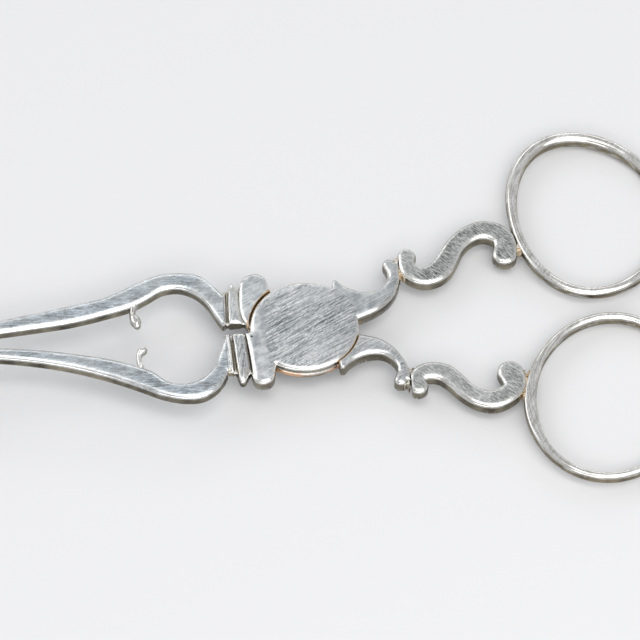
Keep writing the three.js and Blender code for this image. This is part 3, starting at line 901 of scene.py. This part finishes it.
class Nodes:
    """A material, with helpers that add nodes to it and link them. Lengths are in millimetres."""

    def __init__(self, name):
        self.material = bpy.data.materials.new(name)
        self.material.use_nodes = True
        self.tree = self.material.node_tree
        self.tree.nodes.clear()
        self.coordinates = self.add("ShaderNodeTexCoord").outputs
        self.place = self.coordinates["Object"]

    def add(self, kind, inputs=None, **settings):
        made = self.tree.nodes.new(kind)
        for key, value in settings.items():
            setattr(made, key, value)
        for key, value in (inputs or {}).items():
            socket = made.inputs[key]
            if isinstance(value, bpy.types.NodeSocket):
                self.tree.links.new(value, socket)
            else:
                socket.default_value = (*value, 1) if socket.type == "RGBA" else value
        return made

    def math(self, operation, a, b=0.0, clamp=False):
        return self.add("ShaderNodeMath", {0: a, 1: b}, operation=operation, use_clamp=clamp).outputs[0]

    def times(self, first, *others, clamp=False):
        for other in others:
            first = self.math("MULTIPLY", first, other, clamp)
        return first

    def plus(self, first, *others):
        for other in others:
            first = self.math("ADD", first, other)
        return first

    def less(self, a, b):
        return self.math("SUBTRACT", a, b)

    def xyz(self):
        return self.add("ShaderNodeSeparateXYZ", {0: self.place}).outputs

    def length(self, a, b):
        return self.math("SQRT", self.plus(self.times(a, a), self.times(b, b)))

    def noise(self, scale, detail=2.0, roughness=0.5, place=None):
        inputs = {"Vector": place or self.place, "Scale": scale, "Detail": detail, "Roughness": roughness}
        return self.add("ShaderNodeTexNoise", inputs).outputs[0]

    def fade(self, value, start, end, first=1.0, last=0.0):
        """From one amount to another while a length goes from start to end."""
        ends = {0: value, 1: start * MM, 2: end * MM, 3: first, 4: last}
        return self.add("ShaderNodeMapRange", ends).outputs[0]

    def between(self, value, low, high, soft):
        """1 where a length lies between two limits, fading to 0 over a soft width outside them."""
        return self.times(self.fade(value, low - soft, low, 0.0, 1.0), self.fade(value, high, high + soft))

    def ragged(self, value, size):
        """A length with noise added, so that what ends at it has a ragged edge."""
        return self.plus(value, self.times(self.less(self.noise(900.0, 3.0), 0.5), size * MM))

    def ramp(self, value, *stops):
        made = self.add("ShaderNodeValToRGB", {"Fac": value})
        while len(made.color_ramp.elements) < len(stops):
            made.color_ramp.elements.new(0.5)
        for element, (position, tone) in zip(made.color_ramp.elements, stops):
            element.position = position
            element.color = (*tone, 1) if isinstance(tone, tuple) else (tone, tone, tone, 1)
        return made.outputs["Color"]

    def mix(self, factor, a, b, blend="MIX"):
        ends = {0: factor, 6: a, 7: b}
        return self.add("ShaderNodeMix", ends, data_type="RGBA", blend_type=blend).outputs[2]

    def metal(self, colour, rough, height, strength, depth):
        bumps = {"Height": height, "Strength": strength, "Distance": depth * MM}
        bump = self.add("ShaderNodeBump", bumps).outputs[0]
        shader = self.add("ShaderNodeBsdfPrincipled", {
            "Base Color": colour, "Metallic": 1.0, "Roughness": rough, "Normal": bump,
        })
        self.add("ShaderNodeOutputMaterial", {"Surface": shader.outputs[0]})
        return self.material


def streaks(n, angle, along, across, detail, seed):
    """Noise drawn out along a direction in plan."""
    turn = {"Vector": n.place, "Rotation": (0, 0, math.radians(-angle))}
    stretched = n.add("ShaderNodeMapping", {
        "Vector": n.add("ShaderNodeMapping", turn).outputs[0],
        "Location": (seed, seed * 1.7, seed * 0.6),
        "Scale": (along, across, across),
    }).outputs[0]
    return n.noise(1.0, detail, 0.65, stretched)


def scratches(n, angle, seed, spacing=900, length=60, width=0.01):
    """Thin single lines, nearly in one direction, where a drawn-out noise passes its middle."""
    near = n.math("ABSOLUTE", n.less(streaks(n, angle, length, spacing, detail=0, seed=seed), 0.5))
    return n.ramp(near, (0.0, 1.0), (width, 0.0))


def flat_tone(n, angle, flat, seed, marks):
    """A dulled flat: streaks and speckle in its own tone, cleaner patches, and single scratches."""
    light = tuple(min(1, 1.9 * c) for c in flat)
    dark = tuple(0.36 * c for c in flat)
    tone = n.ramp(marks, (0.41, dark), (0.485, flat), (0.565, light))
    tone = n.mix(1.0, tone, n.ramp(n.noise(5200.0), (0.35, 0.62), (0.65, 1.0)), "MULTIPLY")
    tone = n.mix(n.ramp(n.noise(150.0), (0.42, 0.0), (0.68, 0.4)), tone, (0.8, 0.81, 0.8))
    lines = scratches(n, angle, seed + 7)
    stray = scratches(n, angle - 64, seed + 9, spacing=600, length=50, width=0.005)
    return n.mix(n.times(n.math("MAXIMUM", lines, stray), 0.5), tone, (0.95, 0.94, 0.92))


def silver(name, angle, flat, seed, dull=1.0, shade_and_tarnish=1.0, grain=(240, 4600), steep=(0.15, 0.5), extra=None):
    """Old silver: flats dulled by fine scratches, edges worn bright, and painted shade on walls and in
    recesses, partly tarnish.
    """
    n = Nodes(name)
    normal = n.add("ShaderNodeSeparateXYZ", {0: n.coordinates["Normal"]}).outputs
    facing = n.math("ABSOLUTE", normal["Z"])
    level = n.ramp(facing, (0.93, 0.0), (0.99, 1.0))
    wall = n.ramp(facing, (steep[0], 1.0), (steep[1], 0.0))
    cloud = n.noise(420.0, 3.0)
    long = streaks(n, angle, *grain, detail=5, seed=seed)
    short = streaks(n, angle + 17, 1300, 6400, detail=4, seed=seed + 3)
    marks = n.plus(n.times(long, 0.6), n.times(short, 0.4))
    tone = flat_tone(n, angle, flat, seed, marks)

    worn = n.times(level, dull)
    polish = n.ramp(cloud, (0.3, (0.66, 0.64, 0.6)), (0.58, (0.93, 0.92, 0.89)))
    polish = n.mix(0.35, polish, n.mix(1.0, tone, (1.3, 1.28, 1.24), "MULTIPLY"))
    colour = n.mix(worn, polish, tone)
    # Painted shade on steep walls, partly tarnish: a darker olive wherever the surface turns upright
    wall_shade_and_tarnish = n.ramp(cloud, (0.32, (0.045, 0.035, 0.018)), (0.68, (0.3, 0.265, 0.19)))
    colour = n.mix(n.times(wall, 0.92 * shade_and_tarnish, clamp=True), colour, wall_shade_and_tarnish)
    if extra:
        colour, worn = extra(n, colour, worn, level)
    # Painted shade in recesses, partly tarnish: darker brown where ambient occlusion finds the surface
    # closed in
    recess = n.add("ShaderNodeAmbientOcclusion", {"Distance": recess_width * MM}, samples=8).outputs["AO"]
    deep = n.times(n.ramp(recess, (0.08, 1.0), (0.46, 0.0)), shade_and_tarnish, clamp=True)
    colour = n.mix(n.times(deep, 0.8), colour, (0.16, 0.1, 0.05))

    scuffed = n.times(worn, n.plus(0.1, n.times(marks, 0.26)))
    rough = n.plus(n.times(cloud, 0.38), scuffed, n.times(wall, 0.16), n.times(deep, 0.3))
    height = n.plus(n.times(marks, worn), n.times(cloud, 0.6))
    return n.metal(colour, rough, height, strength=0.6, depth=scratch_depth)


def hinge_marks(n, colour, worn, level):
    """What only the plates show: a smooth jaw side, a tan shoulder, a bare rim below it, a pit, and painted
    shade that darkens the plates towards +X.
    """
    x, y, z = n.xyz()
    radius = n.length(x, y)

    pale = n.ramp(n.noise(800.0, 6.0), (0.38, (0.5, 0.53, 0.55)), (0.64, (0.97, 0.98, 0.97)))
    outside = n.math("GREATER_THAN", radius, disc_radius * MM)
    other_lobe = n.times(outside, n.math("GREATER_THAN", y, 0.0))
    soft_lobe = n.mix(1.0, pale, (0.86, 0.88, 0.88), "MULTIPLY")
    colour = n.mix(n.times(other_lobe, worn, 0.6), colour, soft_lobe)
    jaw_side = n.fade(n.ragged(x, wander["side"]), *smooth_side, 0.9)
    jaw_side = n.times(jaw_side, n.less(1.0, other_lobe))
    colour = n.mix(n.times(jaw_side, worn), colour, pale)
    worn = n.times(worn, n.less(1.0, n.times(jaw_side, 0.6)))

    edge = disc_radius + shoulder_clearance
    tan = n.between(n.ragged(radius, wander["tan"]), edge, edge + shoulder_flare, tan_soft)
    own_quarters = n.math("LESS_THAN", n.times(x, y, n.less(z, lap_level * MM)), 0.0)
    tan = n.times(tan, own_quarters, n.less(1.0, level))
    colour = n.mix(n.times(tan, 0.8), colour, (0.66, 0.44, 0.23))

    at_rim = n.between(radius, disc_radius - copper_inset, disc_radius + copper_outset, copper_soft)
    below = n.between(n.ragged(z, wander["copper"]), *copper_heights)
    copper = n.times(below, at_rim, n.less(1.0, level))
    along_rim = n.fade(n.ragged(x, wander["copper_along"]), *copper_along, 0.0, 1.0)
    bare = n.ramp(along_rim, (0.3, 0.85), (0.42, 0.2), (0.7, 0.15), (0.82, 0.7))
    colour = n.mix(n.times(copper, bare), colour, (0.76, 0.48, 0.31))
    # Painted shade: the plates darken towards +X, out to the disc's radius
    colour = n.mix(1.0, colour, n.fade(x, 0.0, disc_radius, 1.0, 0.86), "MULTIPLY")

    spot = {0: n.place, 1: tuple(c * MM for c in pit_spot)}
    away = n.add("ShaderNodeVectorMath", spot, operation="DISTANCE").outputs["Value"]
    return n.mix(n.fade(away, *pit_edge), colour, (0.03, 0.025, 0.02)), worn


def collar_shade_and_spots(n, colour, worn, level):
    """Painted shade in the collar's groove, partly tarnish, and brown spots where its outer ends begin."""
    x, y, z = n.xyz()
    high = n.math("ABSOLUTE", n.less(z, lap_level * MM))
    along = n.math("ABSOLUTE", y)
    # Painted shade, partly tarnish: darker where the section dips into the groove
    low = n.fade(n.ragged(high, wander["groove"]), *groove_heights)
    clean_bead = n.math("GREATER_THAN", x, (collar_x - clean_bead_width) * MM)
    clean_bead = n.times(clean_bead, n.math("GREATER_THAN", y, 0.0))
    span = n.times(n.between(along, *groove_span), n.less(1.0, n.times(clean_bead, 0.8)))
    colour = n.mix(n.times(low, span, 0.8), colour, (0.2, 0.165, 0.1))
    end = n.between(n.ragged(along, wander["spot"]), *spot_span)
    spots = n.times(end, n.ramp(n.noise(800.0), (0.46, 0.0), (0.6, 1.0)), n.less(1.0, level))
    return n.mix(n.times(spots, 0.6), colour, (0.5, 0.39, 0.25)), worn


def bow_painted_reflections(n, colour, worn, level):
    """Painted reflections: light and dark lines that run along the wire, standing in for its highlights and
    shade.
    """
    x, y, z = n.xyz()
    (far_x, far_y), (near_x, near_y) = bow_centre("front"), bow_centre("back")
    far = n.math("GREATER_THAN", y, 0.0)
    middle_x = n.plus(near_x * MM, n.times(far, (far_x - near_x) * MM))
    middle_y = n.plus(-near_y * MM, n.times(far, (far_y + near_y) * MM))
    across = n.math("DIVIDE", n.less(x, middle_x), bow_half_length)
    upwards = n.math("DIVIDE", n.less(y, middle_y), bow_half_width)
    turn = n.math("ARCTAN2", upwards, across)
    line = n.add("ShaderNodeCombineXYZ", {
        0: n.times(n.length(across, upwards), bow_half_width),
        1: n.times(turn, line_turn_length * MM),
        2: n.times(z, 0.5),
    }).outputs[0]
    drawn = n.noise(4200.0, 3.0, place=line)
    # Painted shade and painted highlights: dark and light lines along the wire
    dark = n.ramp(drawn, (0.38, 1.0), (0.54, 0.0))
    light = n.ramp(drawn, (0.52, 0.0), (0.64, 1.0))
    colour = n.mix(n.times(dark, 0.38), colour, (0.3, 0.27, 0.2))
    return n.mix(n.times(light, 0.35), colour, (0.93, 0.92, 0.9)), worn


def solder_finish(name, dark, middle, light):
    """Lumpy solder, dark in its hollows and light on top."""
    n = Nodes(name)
    grain, lump = n.noise(2600.0, 4.0), n.noise(900.0)
    mixed = n.plus(n.times(grain, 0.5), n.times(lump, 0.5))
    colour = n.ramp(mixed, (0.36, dark), (0.5, middle), (0.62, light))
    return n.metal(colour, n.plus(0.18, n.times(grain, 0.3)), mixed, strength=0.7, depth=lump_depth)


# The object: how each part of a half is made, and its finish
parts = {
    "hinge_plate": (hinge_plate, silver("silver_plate", 29, (0.57, 0.615, 0.63), 1.0, extra=hinge_marks)),
    "reeded_collar": (collar, silver("silver_collar", 80, (0.56, 0.6, 0.61), 4.0, dull=0.8,
                                     extra=collar_shade_and_spots)),
    "jaw_arm": (jaw_arm, silver("silver_jaw", -4, (0.37, 0.435, 0.485), 2.0, dull=0.68, grain=(600, 5600))),
    "tendril": (tendril, silver("silver_spur", 80, (0.6, 0.6, 0.58), 6.0, dull=0.2, shade_and_tarnish=0.8)),
    "shell_grip": (shell, silver("silver_shell", 10, (0.55, 0.56, 0.56), 7.0, dull=0.6, shade_and_tarnish=0.6)),
    "stem_scroll": (stem, silver("silver_stem", -48, (0.39, 0.4, 0.385), 3.0, grain=(1100, 6500))),
    "bow": (bow, silver("silver_bow", 60, (0.62, 0.62, 0.59), 5.0, dull=0.12, shade_and_tarnish=1.1, steep=(0.3, 0.68),
                        extra=bow_painted_reflections)),
}
pin_silver = silver("silver_pin", 15, (0.5, 0.52, 0.52), 8.0)
gold_solder = solder_finish("silver_solder", (0.2, 0.13, 0.07), (0.68, 0.52, 0.34), (0.88, 0.85, 0.78))
grey_solder = solder_finish("silver_solder_dull", (0.1, 0.08, 0.05), (0.4, 0.36, 0.28), (0.72, 0.7, 0.64))


def dress(piece, node, body, finish):
    piece.data.materials.clear()
    piece.data.materials.append(finish)
    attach(piece, body)
    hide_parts(node)


for half in halves:
    body = f"{half}_half"
    for part, (maker, finish) in parts.items():
        dress(maker(half), f"{half}_{part}", body, finish)
    for joint in ("stem", "bow"):
        for side in ("inner", "outer"):
            finish = grey_solder if (half, joint) == ("back", "stem") else gold_solder
            dress(solder(half, joint, side), f"{half}_{joint}_solder_{side}", body, finish)
dress(pivot_pin(), "pivot_pin", "front_half", pin_silver)

# The stage, in metres: a pale floor, tilted a little so that the shells and the bows both rest on it
floor_reach = 3
floor_clearance = 0.03 * MM
floor_colour = (0.74, 0.74, 0.745, 1)
floor_roughness = 0.9
world_colour = (0.6, 0.61, 0.63, 1)

# Soft lamps: azimuth and elevation, sides, power and colour
lamp_distance = 0.6
lamps = {
    "key": (34, 54, (0.46, 0.42), 1.32, (1, 0.985, 0.955)),
    "overhead": (10, 86, (0.4, 0.24), 0.6, (1, 1, 1)),
    "front_strip": (-16, 34, (0.5, 0.12), 0.5, (1, 0.975, 0.93)),
    "rim_strip": (178, 26, (0.5, 0.11), 0.26, (1, 1, 1)),
    "left_card": (-126, 35, (0.4, 0.32), 0.45, (1, 1, 1)),
}


def rest_plane():
    """Slope and height of the plane that the shells and the bows stand on."""
    (shell_low, shell_high), (bow_low, bow_high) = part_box("front_shell_grip"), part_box("front_bow")
    shell_foot = (shell_low.x + shell_high.x) / 2
    bow_foot = (bow_low.x + bow_high.x) / 2
    slope = (bow_low.z - shell_low.z) / (bow_foot - shell_foot)
    lows = [min(v.co.z - slope * v.co.x for v in seen.data.vertices)
            for seen in bpy.context.scene.objects if seen.type == "MESH" and not seen.hide_render]
    return slope, min(lows) - floor_clearance


def laid_floor():
    slope, height = rest_plane()
    corners = [(x * floor_reach, y * floor_reach) for x, y in ((-1, -1), (1, -1), (1, 1), (-1, 1))]
    mesh = bpy.data.meshes.new("floor")
    mesh.from_pydata([(x, y, height + slope * x) for x, y in corners], [], [(0, 1, 2, 3)])
    paper = bpy.data.materials.new("paper")
    paper.use_nodes = True
    shader = paper.node_tree.nodes["Principled BSDF"].inputs
    shader["Base Color"].default_value = floor_colour
    shader["Roughness"].default_value = floor_roughness
    mesh.materials.append(paper)
    return placed("floor", mesh)


def lamp(name, azimuth, elevation, sides, power, colour):
    """A soft lamp that looks at the hinge; azimuth 0 is over the -Y side, 90 over +X."""
    light = bpy.data.lights.new(name, "AREA")
    light.shape = "RECTANGLE"
    light.size, light.size_y = sides
    light.energy = power
    light.color = colour
    a, e = math.radians(azimuth), math.radians(elevation)
    back = Vector((math.sin(a) * math.cos(e), -math.cos(a) * math.cos(e), math.sin(e)))
    holder = placed(name, light)
    holder.location = back * lamp_distance
    holder.rotation_euler = back.to_track_quat("Z", "Y").to_euler()


floor = laid_floor()
for name, settings in lamps.items():
    lamp(name, *settings)

world = bpy.data.worlds.new("studio")
bpy.context.scene.world = world
world.use_nodes = True
background = world.node_tree.nodes["Background"].inputs
background["Color"].default_value = world_colour
background["Strength"].default_value = 1.0

# The photograph's view: tilted from above, turned a little about Z; distances in metres
camera_tilt = math.radians(36.5)
camera_turn = math.radians(4)
camera_distance = 0.5
camera_clip = (0.01, 20)
sensor_width = 36
focal_pixels = 3750
image_pixels = 640
axis_pixels = (304.2, 324.8)
camera_data = bpy.data.cameras.new("camera")
camera_data.sensor_width = sensor_width
camera_data.lens = sensor_width * focal_pixels / image_pixels
camera_data.shift_x = 0.5 - axis_pixels[0] / image_pixels
camera_data.shift_y = axis_pixels[1] / image_pixels - 0.5
camera_data.clip_start, camera_data.clip_end = camera_clip
camera = placed("camera", camera_data)
far = Vector((math.sin(camera_turn), math.cos(camera_turn), 0))
right = Vector((math.cos(camera_turn), -math.sin(camera_turn), 0))
back = -math.sin(camera_tilt) * far + math.cos(camera_tilt) * Vector((0, 0, 1))
up = back.cross(right)
aim = Vector((0, 0, hinge_thickness * MM))
turned = Matrix((right, up, back)).transposed().to_4x4()
camera.matrix_world = Matrix.Translation(aim + camera_distance * back) @ turned
bpy.context.scene.camera = camera
bpy.context.scene.view_settings.view_transform = "Standard"

bpy.context.view_layer.update()
